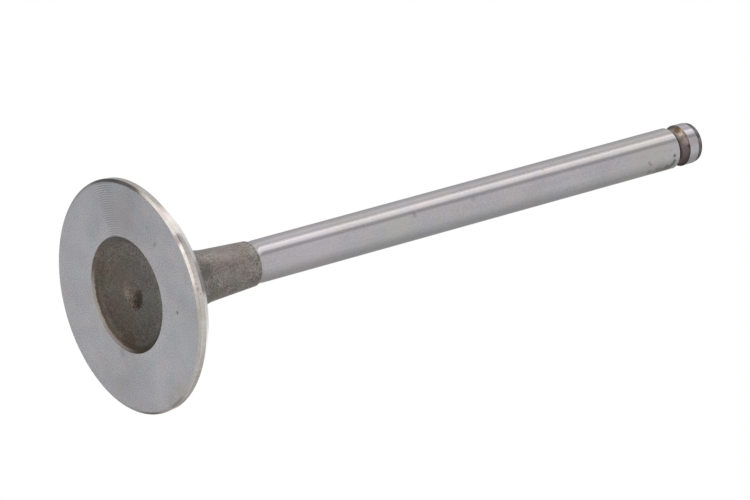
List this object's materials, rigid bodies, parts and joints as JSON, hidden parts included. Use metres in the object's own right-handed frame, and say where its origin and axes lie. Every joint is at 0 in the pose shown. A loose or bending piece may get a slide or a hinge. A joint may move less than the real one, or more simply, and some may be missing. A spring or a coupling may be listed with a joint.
{
  "type": "engine valve",
  "caption": "One-piece poppet valve: flat round head with a forged cup, bevelled seat, tapered neck, ground stem and a keeper groove near the tip.",
  "frame": {"origin": "centre of the flat of the head, on the axis of the stem; the valve stands on its head", "axes": "+Z along the stem, from the head towards the tip; the valve is round about Z"},
  "size_m": [0.0376, 0.0374, 0.1165],
  "materials": {
    "valve_steel": "ground stem, turned head, blasted neck"
  },
  "bodies": {
    "root": {"engine_valve": "valve_steel"}
  },
  "joints": []
}
